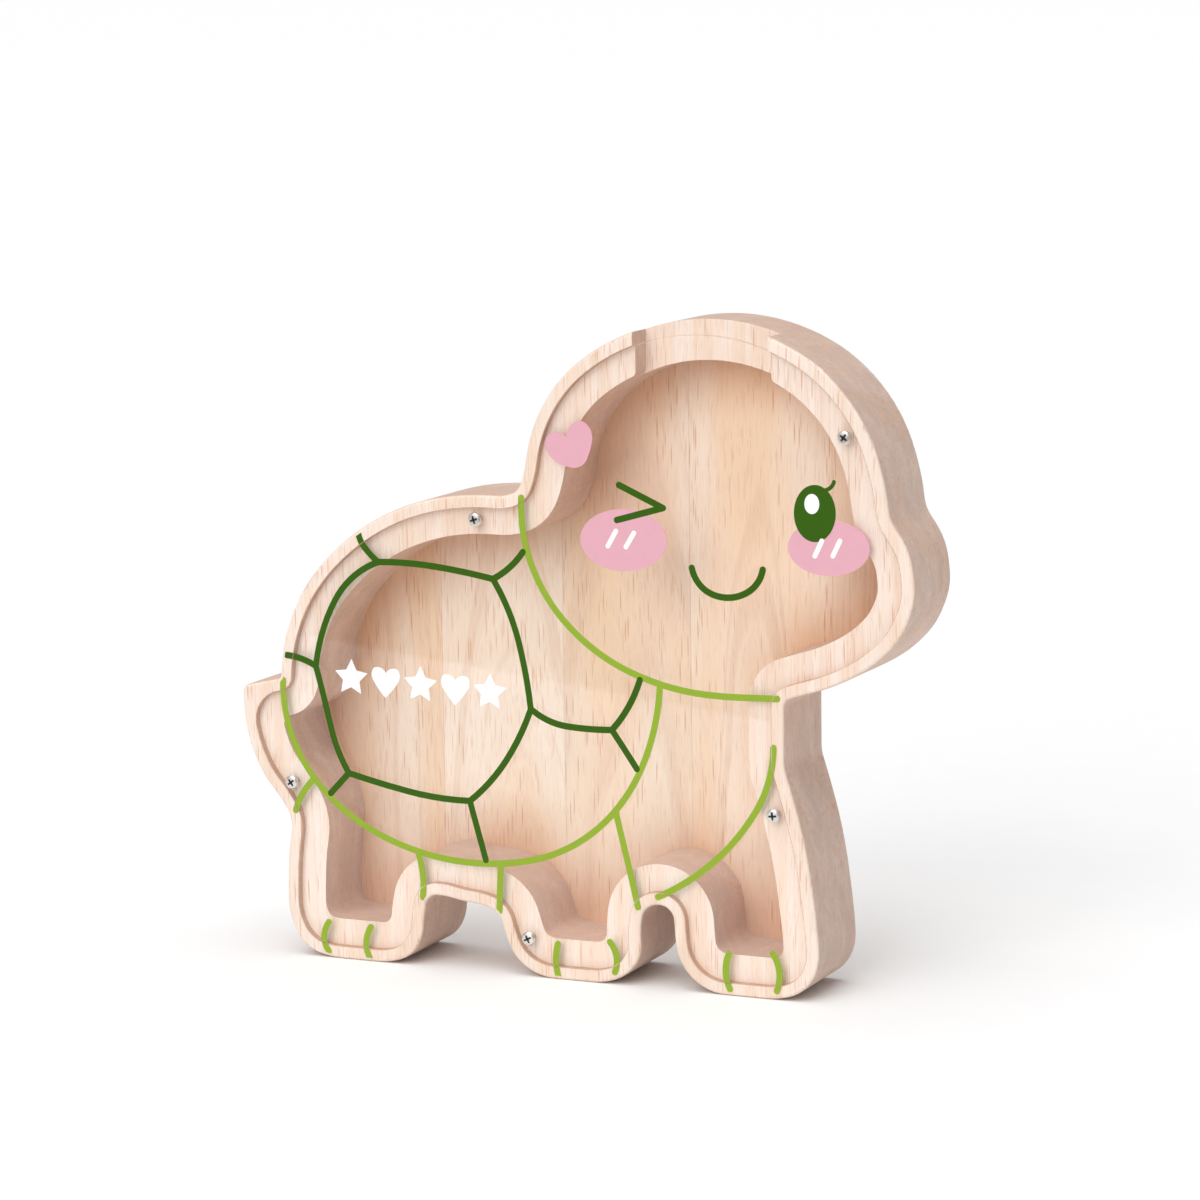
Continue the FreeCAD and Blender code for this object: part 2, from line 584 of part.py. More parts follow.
# --------------------------------------------------------------------- output
NODES = [frame] + staves + [panel] + screws + [print_dark, print_light, print_pink, print_white, lip_dark, lip_light]
for obj in doc.Objects:
    if "Invalid" in obj.State or "Error" in obj.State:
        raise RuntimeError("bad state: %s %s" % (obj.Name, obj.State))
    if hasattr(obj, "Shape") and obj.isDerivedFrom("Part::Feature"):
        if obj.Shape.isNull():
            raise RuntimeError("empty shape: " + obj.Name)
        if not obj.Shape.isValid():
            raise RuntimeError("bad shape: " + obj.Name)
for line in (outline, cavity_line, step_line, panel_line, back_step_line, back_board_line, ink_line):
    print("%-18s edges %3d  shortest %.4f" % (line.Name, len(line.Shape.Edges), min(e.Length for e in line.Shape.Edges)))
os.makedirs("parts", exist_ok=True)
total = None
for obj in NODES:
    shape = obj.Shape
    box_ = shape.BoundBox
    total = box_ if total is None else total.united(box_)
    print("%-24s solids %2d  volume %10.2f  x %7.2f..%7.2f  y %7.2f..%7.2f  z %7.2f..%7.2f" % (
        obj.Label, len(shape.Solids), shape.Volume, box_.XMin, box_.XMax, box_.YMin, box_.YMax, box_.ZMin, box_.ZMax))
    shape.exportStep("parts/%s.step" % obj.Label)
print("overall x %.2f..%.2f y %.2f..%.2f z %.2f..%.2f" % (total.XMin, total.XMax, total.YMin, total.YMax, total.ZMin, total.ZMax))
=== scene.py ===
import math

import bmesh
import bpy
from mathutils import Matrix, Vector


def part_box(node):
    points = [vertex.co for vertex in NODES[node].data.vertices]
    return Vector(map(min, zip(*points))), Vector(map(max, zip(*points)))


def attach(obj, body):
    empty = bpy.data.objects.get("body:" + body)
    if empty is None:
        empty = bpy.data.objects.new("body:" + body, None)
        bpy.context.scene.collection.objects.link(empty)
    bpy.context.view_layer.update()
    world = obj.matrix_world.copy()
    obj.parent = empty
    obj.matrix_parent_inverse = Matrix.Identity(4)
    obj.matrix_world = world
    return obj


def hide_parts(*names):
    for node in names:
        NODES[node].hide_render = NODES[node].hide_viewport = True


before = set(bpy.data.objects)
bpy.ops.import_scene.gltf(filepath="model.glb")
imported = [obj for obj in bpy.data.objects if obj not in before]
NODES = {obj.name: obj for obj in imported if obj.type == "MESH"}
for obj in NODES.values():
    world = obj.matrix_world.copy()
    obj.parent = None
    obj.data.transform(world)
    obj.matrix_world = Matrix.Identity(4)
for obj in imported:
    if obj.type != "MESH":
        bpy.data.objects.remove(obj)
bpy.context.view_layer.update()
scene = bpy.context.scene


# ---------------------------------------------------------------- small node helpers
class Tree:
    """Shorthand for building one material's nodes."""

    def __init__(self, name):
        self.mat = bpy.data.materials.new(name)
        self.mat.use_nodes = True
        self.nt = self.mat.node_tree
        self.nt.nodes.clear()
        self.out = self.nt.nodes.new("ShaderNodeOutputMaterial")
        self.coord = self.nt.nodes.new("ShaderNodeTexCoord").outputs["Object"]

    def put(self, socket, value):
        if isinstance(value, bpy.types.NodeSocket):
            self.nt.links.new(value, socket)
        elif isinstance(value, (int, float)) and socket.type in ("VECTOR", "RGBA"):
            socket.default_value = [value] * 3 if socket.type == "VECTOR" else [value] * 3 + [1]
        elif isinstance(value, (tuple, list)) and socket.type == "RGBA" and len(value) == 3:
            socket.default_value = list(value) + [1]
        else:
            socket.default_value = value

    def math(self, op, a, b=0.0, c=0.0, clamp=False):
        n = self.nt.nodes.new("ShaderNodeMath")
        n.operation = op
        n.use_clamp = clamp
        self.put(n.inputs[0], a)
        self.put(n.inputs[1], b)
        self.put(n.inputs[2], c)
        return n.outputs[0]

    def vec(self, op, a, b=(0, 0, 0)):
        n = self.nt.nodes.new("ShaderNodeVectorMath")
        n.operation = op
        self.put(n.inputs[0], a)
        if op == "SCALE":
            self.put(n.inputs["Scale"], b)
        else:
            self.put(n.inputs[1], b)
        return n.outputs["Value"] if op in ("LENGTH", "DOT_PRODUCT", "DISTANCE") else n.outputs["Vector"]

    def split(self, v):
        n = self.nt.nodes.new("ShaderNodeSeparateXYZ")
        self.put(n.inputs[0], v)
        return n.outputs

    def join(self, x, y, z):
        n = self.nt.nodes.new("ShaderNodeCombineXYZ")
        for s, v in zip(n.inputs, (x, y, z)):
            self.put(s, v)
        return n.outputs[0]

    def noise(self, v, scale=1.0, detail=2.0, rough=0.5, distort=0.0, dims="3D", colour=False):
        n = self.nt.nodes.new("ShaderNodeTexNoise")
        n.noise_dimensions = dims
        self.put(n.inputs["W" if dims == "1D" else "Vector"], v)
        n.inputs["Scale"].default_value = scale
        n.inputs["Detail"].default_value = detail
        n.inputs["Roughness"].default_value = rough
        n.inputs["Distortion"].default_value = distort
        return n.outputs["Color" if colour else "Fac"]

    def cells(self, v, scale=1.0, randomness=1.0):
        n = self.nt.nodes.new("ShaderNodeTexVoronoi")
        n.voronoi_dimensions = "3D"
        self.put(n.inputs["Vector"], v)
        n.inputs["Scale"].default_value = scale
        n.inputs["Randomness"].default_value = randomness
        return n.outputs["Distance"], n.outputs["Color"]

    def span(self, v, a, b, c=0.0, d=1.0, smooth=True):
        n = self.nt.nodes.new("ShaderNodeMapRange")
        n.interpolation_type = "SMOOTHSTEP" if smooth else "LINEAR"
        self.put(n.inputs["Value"], v)
        for k, x in zip(("From Min", "From Max", "To Min", "To Max"), (a, b, c, d)):
            self.put(n.inputs[k], x)
        return n.outputs["Result"]

    def mix(self, f, a, b, mode="MIX"):
        n = self.nt.nodes.new("ShaderNodeMix")
        n.data_type = "RGBA"
        n.blend_type = mode
        n.clamp_result = False
        self.put(n.inputs["Factor"], f)
        self.put(n.inputs["A"] if False else n.inputs[6], a)
        self.put(n.inputs["B"] if False else n.inputs[7], b)
        return n.outputs[2]

    def bump(self, height, strength, distance, normal=None):
        n = self.nt.nodes.new("ShaderNodeBump")
        n.inputs["Strength"].default_value = strength
        n.inputs["Distance"].default_value = distance
        self.put(n.inputs["Height"], height)
        if normal is not None:
            self.put(n.inputs["Normal"], normal)
        return n.outputs[0]

    def shader(self, **sockets):
        n = self.nt.nodes.new("ShaderNodeBsdfPrincipled")
        for k, v in sockets.items():
            self.put(n.inputs[k.replace("_", " ")], v)
        self.nt.links.new(n.outputs[0], self.out.inputs["Surface"])
        return n


# ---------------------------------------------------------------- materials
SAWN_TINT_AND_SIDE_SHADE = (0.880, 0.792, 0.755)   # how much browner the sawn and routed edges are than the planed faces: partly their own tone, partly painted shade that darkens every side face against the front


def wood(name, seed, heart, light, mid, dark, seams=(), painted_nook_shade=0.0):
    """Pale rubberwood with upright grain. heart is where the log's middle lay, in mm, in this piece's own frame."""
    t = Tree(name)
    mm = t.vec("ADD", t.vec("SCALE", t.coord, 1000.0), (seed * 37.1, seed * 91.7, seed * 53.3))
    # slow waviness, so that lines along the grain wander
    wave = t.vec("SUBTRACT", t.noise(t.vec("MULTIPLY", mm, (0.018, 0.018, 0.006)), 1, 2, 0.5, colour=True), (0.5, 0.5, 0.5))
    warp = t.vec("ADD", mm, t.vec("MULTIPLY", wave, (5.0, 5.0, 0.0)))
    p = t.split(warp)
    # growth layers round the log's middle, leaning a little along the grain
    away = t.vec("SUBTRACT", warp, (heart[0] + seed * 37.1, heart[1] + seed * 91.7, 0))
    q = t.split(away)
    flat = t.join(q[0], q[1], 0)
    ring = t.math("ADD", t.vec("LENGTH", flat), t.math("MULTIPLY", q[2], 0.018))
    bands = t.noise(t.math("MULTIPLY", ring, 0.16), 1, 1.5, 0.55, dims="1D")
    lines = t.noise(t.math("MULTIPLY", ring, 1.1), 1, 3, 0.65, dims="1D")
    broad = t.noise(t.vec("MULTIPLY", warp, (0.045, 0.045, 0.007)), 1, 2, 0.5)
    fibre = t.noise(t.vec("MULTIPLY", warp, (2.4, 2.4, 0.10)), 1, 4, 0.62)
    hair = t.noise(t.vec("MULTIPLY", warp, (5.5, 5.5, 0.32)), 1, 2, 0.6)
    # vessels: long thin cells, each with one streak, not all of them filled
    d1, c1 = t.cells(t.vec("MULTIPLY", warp, (1.45, 1.45, 0.080)))
    d2, c2 = t.cells(t.vec("MULTIPLY", t.vec("ADD", warp, (11.3, 4.1, 71.0)), (2.3, 2.3, 0.17)))
    r1, r2 = t.split(c1), t.split(c2)
    crowd = t.span(t.noise(t.vec("MULTIPLY", warp, (0.10, 0.10, 0.012)), 1, 2, 0.5), 0.30, 0.68)
    s1 = t.math("MULTIPLY", t.span(d1, 0.40, 0.20), t.span(r1[0], 0.35, 0.75))
    s2 = t.math("MULTIPLY", t.span(d2, 0.38, 0.20), t.span(r2[0], 0.40, 0.90))
    pores = t.math("MAXIMUM", t.math("MULTIPLY", s1, t.span(crowd, 0, 1, 0.35, 1.0)), t.math("MULTIPLY", s2, 0.42))
    # end grain: faces that look up or down along the grain drink more light
    normal = t.nt.nodes.new("ShaderNodeNewGeometry").outputs["Normal"]
    nx, ny, nz = t.split(normal)
    end = t.span(t.math("ABSOLUTE", nz), 0.55, 0.98)
    sawn = t.span(t.math("ABSOLUTE", ny), 0.85, 0.25)
    tone = t.math("ADD", t.math("MULTIPLY", bands, 0.55), t.math("MULTIPLY", broad, 0.45))
    base = t.mix(t.span(tone, 0.40, 0.60), light, mid)
    base = t.mix(t.math("MULTIPLY", t.span(lines, 0.50, 0.72), t.span(sawn, 0, 1, 0.34, 0.16, False)), base, dark)
    base = t.mix(t.math("MULTIPLY", t.span(fibre, 0.35, 0.70), 0.20), base, dark)
    base = t.mix(t.math("MULTIPLY", t.span(hair, 0.45, 0.75), 0.14), base, tuple(1.06 * c for c in light))
    base = t.mix(t.math("MULTIPLY", pores, 0.74), base, tuple(c * k for c, k in zip(dark, (0.90, 0.66, 0.52))))
    blot = t.noise(t.vec("MULTIPLY", mm, (0.05, 0.05, 0.03)), 1, 3, 0.6)
    base = t.mix(t.span(blot, 0.35, 0.70, 0.0, 0.16), base, tuple(c * k for c, k in zip(mid, (0.86, 0.80, 0.74))))
    base = t.mix(t.math("MULTIPLY", end, 0.22), base, tuple(c * k for c, k in zip(mid, (0.84, 0.76, 0.70))))
    # painted shade: every face that does not look to the front or back is darkened, on top of the sawn wood's own
    # browner tone
    base = t.mix(t.math("MULTIPLY", sawn, 1.0), base, SAWN_TINT_AND_SIDE_SHADE, "MULTIPLY")
    # sawn faces are mottled where the sander bit unevenly, and speckled by cut fibres
    mottle = t.noise(t.vec("MULTIPLY", mm, (0.20, 0.20, 0.10)), 1, 5, 0.68)
    speck = t.noise(t.vec("MULTIPLY", warp, (3.6, 3.6, 0.60)), 1, 3, 0.70)
    base = t.mix(t.math("MULTIPLY", t.span(mottle, 0.34, 0.66), t.math("MULTIPLY", sawn, 0.50)), base, tuple(c * k for c, k in zip(mid, (0.66, 0.62, 0.64))))
    base = t.mix(t.math("MULTIPLY", t.span(speck, 0.50, 0.70), t.math("MULTIPLY", sawn, 0.55)), base, tuple(c * k for c, k in zip(dark, (0.70, 0.68, 0.70))))
    # painted shade: near walls and in corners the wood is darkened and warmed by an ambient-occlusion mask
    if painted_nook_shade:
        ao = t.nt.nodes.new("ShaderNodeAmbientOcclusion")
        ao.samples = 8
        ao.inputs["Distance"].default_value = 0.020
        base = t.mix(t.span(ao.outputs["AO"], 0.98, 0.45, 0.0, painted_nook_shade, False), base, (0.80, 0.62, 0.50), "MULTIPLY")
    rough = t.math("ADD", t.span(fibre, 0.2, 0.8, 0.46, 0.60), t.math("MULTIPLY", pores, 0.12))
    height = t.math("SUBTRACT", t.math("MULTIPLY", fibre, 0.35), pores)
    if seams:
        x = t.split(t.coord)[0]
        line = None
        for s in seams:
            m = t.span(t.math("ABSOLUTE", t.math("SUBTRACT", x, s / 1000.0)), 0.00022, 0.00006)
            line = m if line is None else t.math("MAXIMUM", line, m)
        base = t.mix(t.math("MULTIPLY", line, 0.22), base, tuple(c * k for c, k in zip(dark, (0.55, 0.42, 0.34))))
        height = t.math("SUBTRACT", height, t.math("MULTIPLY", line, 0.4))
    n = t.bump(height, 0.30, 0.00012)
    t.shader(Base_Color=base, Roughness=rough, Normal=n, Specular_IOR_Level=0.34)
    return t.mat


def srgb(r, g, b, k=1.0):
    return tuple(k * (c / 12.92 if c <= 0.04045 else ((c + 0.055) / 1.055) ** 2.4) for c in (r / 255, g / 255, b / 255))


def ink(name, colour, seed, rough=0.34):
    """Ultraviolet-cured ink: an even film with a faintly pebbled top."""
    t = Tree(name)
    mm = t.vec("ADD", t.vec("SCALE", t.coord, 1000.0), (seed, seed * 2, seed * 3))
    grain = t.noise(mm, 5.5, 3, 0.6)
    cloud = t.noise(mm, 0.35, 2, 0.5)
    c = t.mix(t.span(cloud, 0.3, 0.7, 0, 0.16), colour, tuple(0.86 * v for v in colour))
    c = t.mix(t.span(grain, 0.35, 0.75, 0, 0.12), c, tuple(min(1.0, 1.12 * v + 0.01) for v in colour))
    r = t.span(grain, 0.2, 0.8, rough - 0.06, rough + 0.10)
    n = t.bump(grain, 0.22, 0.00004)
    t.shader(Base_Color=c, Roughness=r, Normal=n, Specular_IOR_Level=0.16)
    return t.mat


def acrylic(name):
    """The faces of the clear sheet: they pass light straight through and mirror a little of the room."""
    t = Tree(name)
    mm = t.vec("SCALE", t.coord, 1000.0)
    rub = t.noise(t.vec("MULTIPLY", mm, (0.16, 1.0, 0.9)), 1, 3, 0.65)
    ripple = t.noise(mm, 0.02, 1, 0.4)
    clear = t.nt.nodes.new("ShaderNodeBsdfTransparent")
    t.put(clear.inputs["Color"], t.mix(t.span(rub, 0.5, 0.9, 0, 1), (0.998, 0.998, 0.998), (0.985, 0.986, 0.988)))
    bump = t.bump(ripple, 0.10, 0.0004)

    def mirror(colour):
        n = t.nt.nodes.new("ShaderNodeBsdfGlossy")
        n.inputs["Color"].default_value = (*colour, 1)
        t.put(n.inputs["Roughness"], t.span(rub, 0.45, 0.95, 0.006, 0.03))
        t.put(n.inputs["Normal"], bump)
        return n.outputs[0]

    lw = t.nt.nodes.new("ShaderNodeLayerWeight")
    lw.inputs["Blend"].default_value = 0.5
    f = t.math("MULTIPLY", t.math("POWER", lw.outputs["Facing"], 5.0), 0.90)
    m = t.nt.nodes.new("ShaderNodeMixShader")
    t.nt.links.new(f, m.inputs[0])
    t.nt.links.new(clear.outputs[0], m.inputs[1])
    t.nt.links.new(mirror((0.95, 0.95, 0.97)), m.inputs[2])
    both = t.nt.nodes.new("ShaderNodeAddShader")
    t.nt.links.new(m.outputs[0], both.inputs[0])
    t.nt.links.new(mirror((0.026, 0.030, 0.034)), both.inputs[1])
    t.nt.links.new(both.outputs[0], t.out.inputs["Surface"])
    return t.mat


def cut_edge(name, colour, seen):
    """The sheet's sawn edge: part clear, part pale from fine saw marks."""
    t = Tree(name)
    mm = t.vec("SCALE", t.coord, 1000.0)
    saw = t.noise(t.vec("MULTIPLY", mm, (2.2, 0.5, 2.2)), 1, 3, 0.6)
    clear = t.nt.nodes.new("ShaderNodeBsdfTransparent")
    clear.inputs["Color"].default_value = (0.92, 0.92, 0.92, 1)
    body = t.nt.nodes.new("ShaderNodeBsdfTranslucent")
    t.put(body.inputs["Color"], t.mix(saw, colour, tuple(0.93 * c for c in colour)))
    m = t.nt.nodes.new("ShaderNodeMixShader")
    t.put(m.inputs[0], t.span(saw, 0.2, 0.8, seen * 0.85, min(1.0, seen * 1.15)))
    t.nt.links.new(clear.outputs[0], m.inputs[1])
    t.nt.links.new(body.outputs[0], m.inputs[2])
    t.nt.links.new(m.outputs[0], t.out.inputs["Surface"])
    return t.mat


def steel(name, bright, dull, rough):
    t = Tree(name)
    mm = t.vec("SCALE", t.coord, 1000.0)
    swirl = t.noise(t.vec("MULTIPLY", mm, (3.0, 0.6, 3.0)), 1, 4, 0.65)
    spots = t.noise(mm, 1.3, 3, 0.6)
    c = t.mix(t.span(spots, 0.35, 0.7, 0, 0.5), bright, dull)
    r = t.span(swirl, 0.25, 0.8, rough, rough + 0.18)
    n = t.bump(swirl, 0.25, 0.00003)
    t.shader(Base_Color=c, Roughness=r, Normal=n, Metallic=1.0)
    return t.mat


def dress(node, mat):
    o = NODES[node]
    if not o.material_slots:
        o.data.materials.append(mat)
    for s in o.material_slots:
        s.material = mat


LIGHT, MID, DARK = (0.905, 0.785, 0.700), (0.870, 0.700, 0.580), (0.72, 0.475, 0.335)
dress("frame", wood("wood_frame", 1.0, (-160, 60), LIGHT, MID, DARK))
SEAMS = (-55.2, -13.2, 29.8, 76.4)
STAVES = [
    # seed, log middle (x, y) in mm, warmth and lightness
    (2.3, (-120, 190), (0.98, 0.97, 0.95)),
    (3.1, (-30, 95), (1.00, 1.00, 0.99)),
    (4.7, (10, 150), (0.97, 0.955, 0.93)),
    (5.9, (52, 70), (0.975, 0.955, 0.925)),
    (6.4, (150, 120), (0.97, 0.96, 0.95)),
]
for i, (seed, heart, k) in enumerate(STAVES, 1):
    tint = lambda c: tuple(min(0.97, a * b * q) for a, b, q in zip(c, k, (1.015, 1.03, 1.06)))
    dress(f"back_stave_{i}", wood(f"wood_stave_{i}", seed, heart, tint((0.955, 0.815, 0.680)), tint((0.93, 0.700, 0.500)), tint(DARK), SEAMS, 1.0))
ACRYLIC = acrylic("acrylic")
dress("acrylic_panel", ACRYLIC)
dress("print_dark_green", ink("ink_dark_green", (0.035, 0.113, 0.002), 1))
dress("lip_print_dark_green", ink("ink_dark_green_on_wood", (0.036, 0.115, 0.003), 5, 0.42))
dress("print_light_green", ink("ink_light_green", srgb(152, 182, 55, 0.90), 2))
dress("lip_print_light_green", ink("ink_light_green_on_wood", srgb(152, 182, 55, 0.90), 6, 0.42))
dress("print_pink", ink("ink_pink", srgb(234, 177, 192, 0.92), 3))
dress("print_white", ink("ink_white", srgb(252, 251, 250), 4))
STEEL = steel("screw_steel_bright", srgb(236, 234, 231), srgb(206, 203, 199), 0.30)
# the recess steel is darker than the head: painted shade in the cross recess
RECESS_PAINTED_SHADE_STEEL = steel("screw_steel_recess_painted_shade", srgb(120, 114, 110), srgb(84, 79, 76), 0.38)


# ---------------------------------------------------------------- the clear panel
def panel():
    """The cut sheet with its edges just broken, and a hair of air between it and the step it lies on."""
    src = NODES["acrylic_panel"]
    m = src.data.copy()
    m.name = "clear_sheet"
    o = bpy.data.objects.new("clear_sheet", m)
    scene.collection.objects.link(o)
    bm = bmesh.new()
    bm.from_mesh(m)
    bmesh.ops.remove_doubles(bm, verts=bm.verts, dist=2e-6)
    y0, y1 = min(v.co.y for v in bm.verts), max(v.co.y for v in bm.verts)
    for v in bm.verts:
        if v.co.y > y1 - 1e-5:
            v.co.y = y1 - 0.00006
        elif v.co.y < y0 + 1e-5:
            v.co.y = y0 + 0.00001
    bmesh.ops.recalc_face_normals(bm, faces=bm.faces)
    sharp = [e for e in bm.edges if len(e.link_faces) == 2 and e.calc_face_angle(0) > math.radians(50)]
    bmesh.ops.dissolve_limit(bm, angle_limit=math.radians(0.5), verts=bm.verts, edges=bm.edges)
    # the sheet's outside edge sits closer to the lip than the play in CAD; its screw holes keep their size
    holes = [((a[0] + b[0]) / 2, (a[2] + b[2]) / 2) for a, b in (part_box("screw_" + k) for k in ("neck", "crown", "tail", "knee", "toe"))]
    for v in bm.verts:
        if min(math.hypot(v.co.x - x, v.co.z - z) for x, z in holes) > 0.0022:
            out = Vector((v.normal.x, 0, v.normal.z))
            if out.length > 1e-6:
                v.co += out.normalized() * 0.0001
    bm.normal_update()
    sharp = [e for e in bm.edges if len(e.link_faces) == 2 and e.calc_face_angle(0) > math.radians(50)]
    bmesh.ops.bevel(bm, geom=sharp, offset=0.00012, segments=2, profile=0.6, affect="EDGES", clamp_overlap=True)
    for f in bm.faces:
        f.smooth = False
    bm.to_mesh(m)
    bm.free()
    m.materials.clear()
    for x in (ACRYLIC, cut_edge("acrylic_cut_edge", (1.0, 0.84, 0.70), 0.35), cut_edge("acrylic_arris", (1.0, 0.87, 0.76), 0.60)):
        m.materials.append(x)
    for f in m.polygons:
        f.material_index = 0 if abs(f.normal.y) > 0.995 else (1 if abs(f.normal.y) < 0.05 else 2)
    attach(o, "front")
    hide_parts("acrylic_panel")
    return o


panel()


# ---------------------------------------------------------------- screws
def solid(name, rings, closed=True):
    """A mesh from rings of points, each ring joined to the next; the end rings are closed with a fan."""
    bm = bmesh.new()
    rows = [[bm.verts.new(p) for p in r] for r in rings]
    for a, b in zip(rows, rows[1:]):
        n = len(a)
        for i in range(n):
            j = (i + 1) % n
            bm.faces.new((a[i], a[j], b[j], b[i]))
    for r in (rows[0], rows[-1]):
        c = bm.verts.new(sum((v.co for v in r), Vector()) / len(r))
        for i in range(len(r)):
            bm.faces.new((r[i], r[(i + 1) % len(r)], c))
    bmesh.ops.recalc_face_normals(bm, faces=bm.faces)
    m = bpy.data.meshes.new(name)
    bm.to_mesh(m)
    bm.free()
    return m


def cross_cutter(cx, cz, top, turn):
    """The four-winged recess of a cross-head driver, narrowing as it goes down."""
    wing, half, depth = 1.30, 0.34, 1.00
    pts = []
    for k in range(4):
        a = turn + k * math.pi / 2
        c, s = math.cos(a), math.sin(a)
        for u, v in ((half, -half * 1.0), (wing, -half * 0.86), (wing + 0.06, 0.0), (wing, half * 0.86)):
            pts.append((u * c - v * s, u * s + v * c))
    def ring(y, k, lean):
        out = []
        for i, (x, z) in enumerate(pts):
            q = k if i % 4 else lean
            out.append(((cx + x * q) / 1000, y / 1000, (cz + z * q) / 1000))
        return out
    return solid("cutter", [ring(top - 0.6, 1.12, 1.02), ring(top, 1.0, 1.0), ring(top + depth * 0.72, 0.50, 0.84), ring(top + depth, 0.22, 0.36)])


def screw(name, turn):
    src = "screw_" + name
    lo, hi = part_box(src)
    cx, cz = (lo[0] + hi[0]) * 500, (lo[2] + hi[2]) * 500
    y0, y1 = lo[1] * 1000, hi[1] * 1000
    head_r, seat = (hi[0] - lo[0]) * 500 - 0.005, -15.35
    seg = 72

    def circle(r, y, n=seg, phase=0.0):
        return [((cx + r * math.cos(phase + 2 * math.pi * i / n)) / 1000, y / 1000, (cz + r * math.sin(phase + 2 * math.pi * i / n)) / 1000) for i in range(n)]

    tall = seat - y0 - 0.01
    flat = head_r * 0.66
    prof = [(head_r * 0.955, seat - 0.015), (head_r * 0.99, seat - 0.06), (head_r, seat - 0.14)]
    for i in range(1, 16):
        a = i / 15 * math.pi / 2
        prof.append((flat + (head_r - flat) * math.cos(a), seat - 0.14 - (tall - 0.20) * math.sin(a)))
    prof += [(flat * 0.75, seat - tall + 0.02), (flat * 0.5, seat - tall), (flat * 0.25, seat - tall)]
    head = solid(name + "_head", [circle(r, y) for r, y in prof])
    o = bpy.data.objects.new("screw_piece_" + name, head)
    scene.collection.objects.link(o)
    cut = bpy.data.objects.new("cut", cross_cutter(cx, cz, seat - tall, turn))
    scene.collection.objects.link(cut)
    head.materials.append(STEEL)
    # the cutter's darker steel passes to the recess faces as painted shade
    cut.data.materials.append(RECESS_PAINTED_SHADE_STEEL)
    mod = o.modifiers.new("cross", "BOOLEAN")
    mod.operation, mod.solver, mod.object = "DIFFERENCE", "EXACT", cut
    mod.material_mode = "TRANSFER"
    bpy.context.view_layer.update()
    out = bpy.data.meshes.new_from_object(o.evaluated_get(bpy.context.evaluated_depsgraph_get()))
    o.modifiers.clear()
    bpy.data.objects.remove(cut)
    # the threaded shank: one turn of thread each 0.9 mm, fading out on the point
    root, crest, pitch, n = 0.60, (0.95 - 0.005), 0.9, 40
    rings, y, step = [], seat - 0.02, 0.075
    end = y1 - 0.01
    while y < end:
        ring = []
        fade = min(1.0, max(0.0, (end - y) / 1.8))
        lead = min(1.0, max(0.0, (y - seat - 0.4) / 0.5))
        for i in range(n):
            a = 2 * math.pi * i / n
            u = ((y - seat) / pitch - i / n) % 1.0
            t = max(0.0, 1.0 - abs(u - 0.5) / 0.27) * lead
            r = (root + (crest - root) * t) * max(0.06, fade ** 0.85)
            if lead < 1:
                r = max(r, root + (0.80 - root) * (1 - lead))
            ring.append(((cx + r * math.cos(a)) / 1000, y / 1000, (cz + r * math.sin(a)) / 1000))
        rings.append(ring)
        y += step
    rings.append([((cx + 0.03 * math.cos(2 * math.pi * i / n)) / 1000, end / 1000, (cz + 0.03 * math.sin(2 * math.pi * i / n)) / 1000) for i in range(n)])
    shank = solid(name + "_shank", rings)
    bm = bmesh.new()
    bm.from_mesh(out)
    bm.from_mesh(shank)
    bm.to_mesh(out)
    bm.free()
    for x in (STEEL, RECESS_PAINTED_SHADE_STEEL):
        if out.materials.find(x.name) < 0:
            out.materials.append(x)
    out.shade_smooth()
    out.set_sharp_from_angle(angle=math.radians(32))
    o.data = out
    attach(o, "fastener_" + name)
    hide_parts(src)
    return o


for n, turn in (("neck", 0.30), ("crown", 0.95), ("tail", 0.62), ("knee", 0.10), ("toe", 0.45)):
    screw(n, turn)


# ---------------------------------------------------------------- floor, light, camera
def floor():
    m = bpy.data.meshes.new("floor")
    s = 60.0
    m.from_pydata([(-s, -s, 0), (s, -s, 0), (s, s, 0), (-s, s, 0)], [], [(0, 1, 2, 3)])
    o = bpy.data.objects.new("floor", m)
    scene.collection.objects.link(o)
    o.location.z = -0.00002
    t = Tree("floor_paper")
    g = t.noise(t.vec("SCALE", t.coord, 1000.0), 0.05, 2, 0.5)
    c = t.mix(t.span(g, 0.3, 0.7, 0, 0.5), (0.97, 0.97, 0.975), (0.955, 0.955, 0.96))
    path = t.nt.nodes.new("ShaderNodeLightPath")
    c = t.mix(path.outputs["Is Camera Ray"], (0.91, 0.905, 0.90), c)
    t.shader(Base_Color=c, Roughness=0.75, Specular_IOR_Level=0.2)
    m.materials.append(t.mat)
    return o


floor()


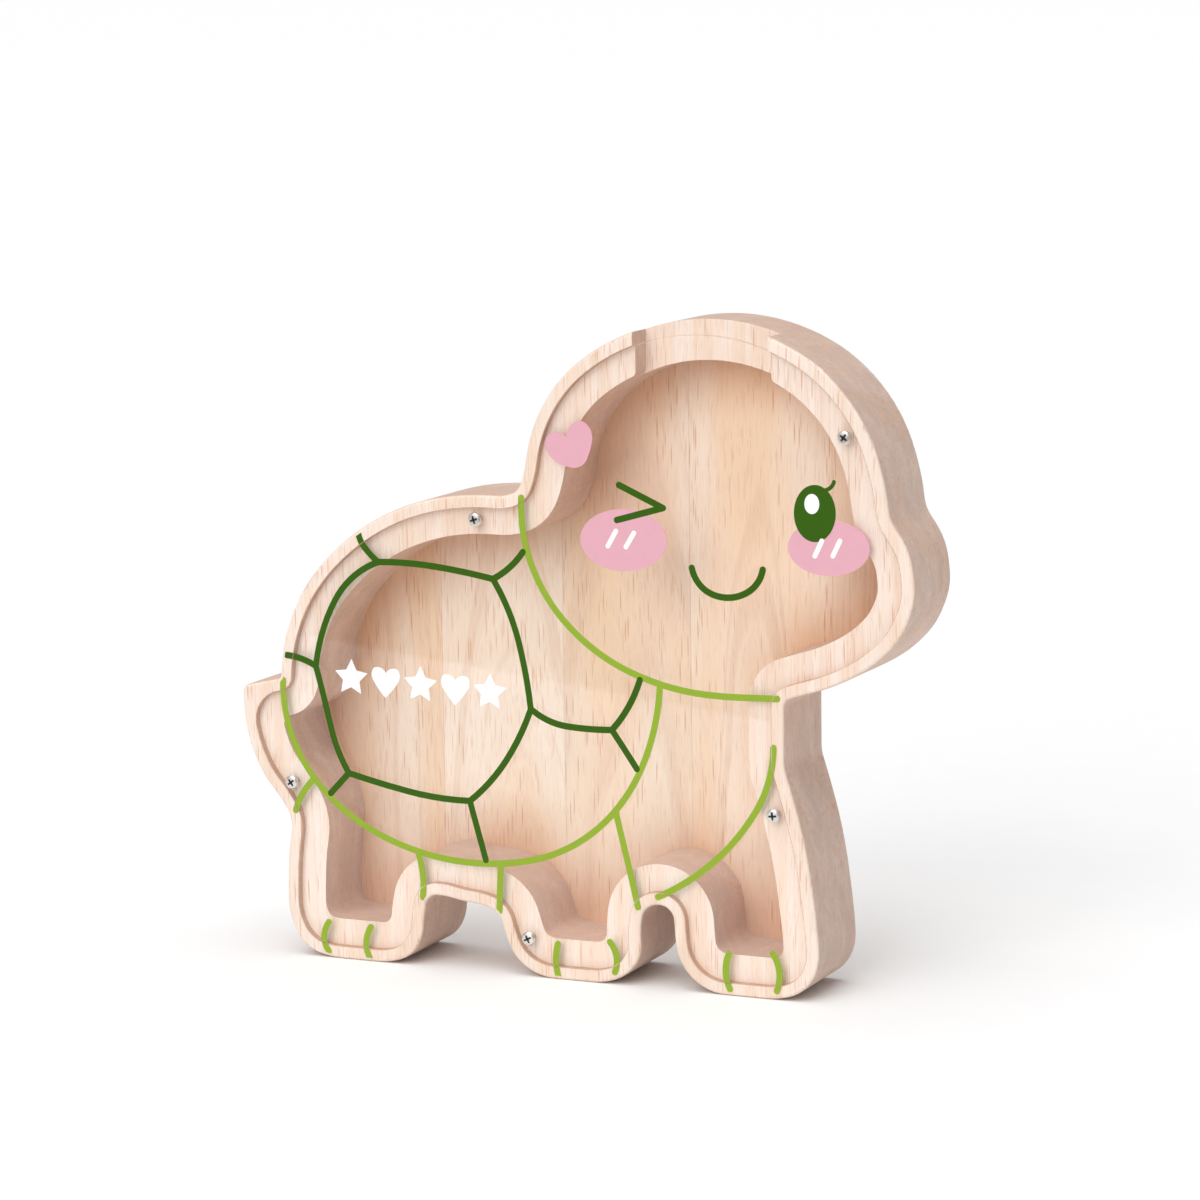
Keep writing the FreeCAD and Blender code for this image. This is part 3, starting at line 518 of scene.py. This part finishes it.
def painted_dark_reflection():
    """A dark card standing in for the shaded part of the room in front of the table; nothing but polished surfaces
    shows it, as a mirror image, so it is a painted reflection.
    """
    m = bpy.data.meshes.new("room_dark")
    a, d, n = Vector((-0.150, -0.451, 0.002)), Vector((0.909, 0.417, 0)), Vector((0.417, -0.909, 0))
    m.from_pydata([a - 6 * d, a + 6 * d, a + 6 * d + 8 * n, a - 6 * d + 8 * n], [], [(0, 1, 2, 3)])
    o = bpy.data.objects.new("room_dark", m)
    scene.collection.objects.link(o)
    o.visible_camera = o.visible_diffuse = o.visible_transmission = o.visible_shadow = o.visible_volume_scatter = False
    t = Tree("room_dark_reflection_card")
    t.shader(Base_Color=(0.08, 0.075, 0.08), Roughness=0.9)
    m.materials.append(t.mat)


painted_dark_reflection()


def sun(name, azimuth, elevation, spread, strength, colour=(1, 1, 1)):
    """Light from one side of an evenly lit studio. Azimuth 0 is in front of the object, and -90 is its left."""
    d = bpy.data.lights.new(name, "SUN")
    d.angle = math.radians(spread)
    d.energy = strength * math.pi
    d.color = colour
    o = bpy.data.objects.new(name, d)
    scene.collection.objects.link(o)
    a, e = math.radians(azimuth), math.radians(elevation)
    back = Vector((math.sin(a) * math.cos(e), -math.cos(a) * math.cos(e), math.sin(e)))
    o.rotation_mode = "QUATERNION"
    o.rotation_quaternion = (-back).to_track_quat("-Z", "Y")
    return o


sun("key", -9, 26, 42, 0.335, (1.0, 0.985, 0.965))
sun("high", -6, 60, 50, 0.21, (1.0, 0.99, 0.975))
sun("top", 10, 87, 60, 0.40, (0.985, 0.99, 1.0))

world = bpy.data.worlds.new("room")
scene.world = world
world.use_nodes = True
bg = world.node_tree.nodes["Background"]
bg.inputs["Color"].default_value = (1.0, 1.0, 1.0, 1)
seen = world.node_tree.nodes.new("ShaderNodeLightPath")
level = world.node_tree.nodes.new("ShaderNodeMath")
level.operation = "MULTIPLY_ADD"
level.inputs[1].default_value = 0.72
level.inputs[2].default_value = 0.36
world.node_tree.links.new(seen.outputs["Is Camera Ray"], level.inputs[0])
world.node_tree.links.new(level.outputs[0], bg.inputs["Strength"])

cam = bpy.data.cameras.new("camera")
cam.sensor_width = 36.0
cam.lens = 126.0
cam.clip_start, cam.clip_end = 0.05, 200.0
co = bpy.data.objects.new("camera", cam)
scene.collection.objects.link(co)
right = Vector((0.91251548, 0.40882977, -0.01318023))
up = Vector((-0.05072123, 0.14506666, 0.98812095))
back = Vector((0.40588527, -0.90100715, 0.15311192))
m = Matrix((right, up, back)).transposed().to_4x4()
m.translation = (0.52639, -1.15809, 0.31317)
co.matrix_world = m
scene.camera = co
scene.view_settings.view_transform = "Standard"
scene.view_settings.look = "None"
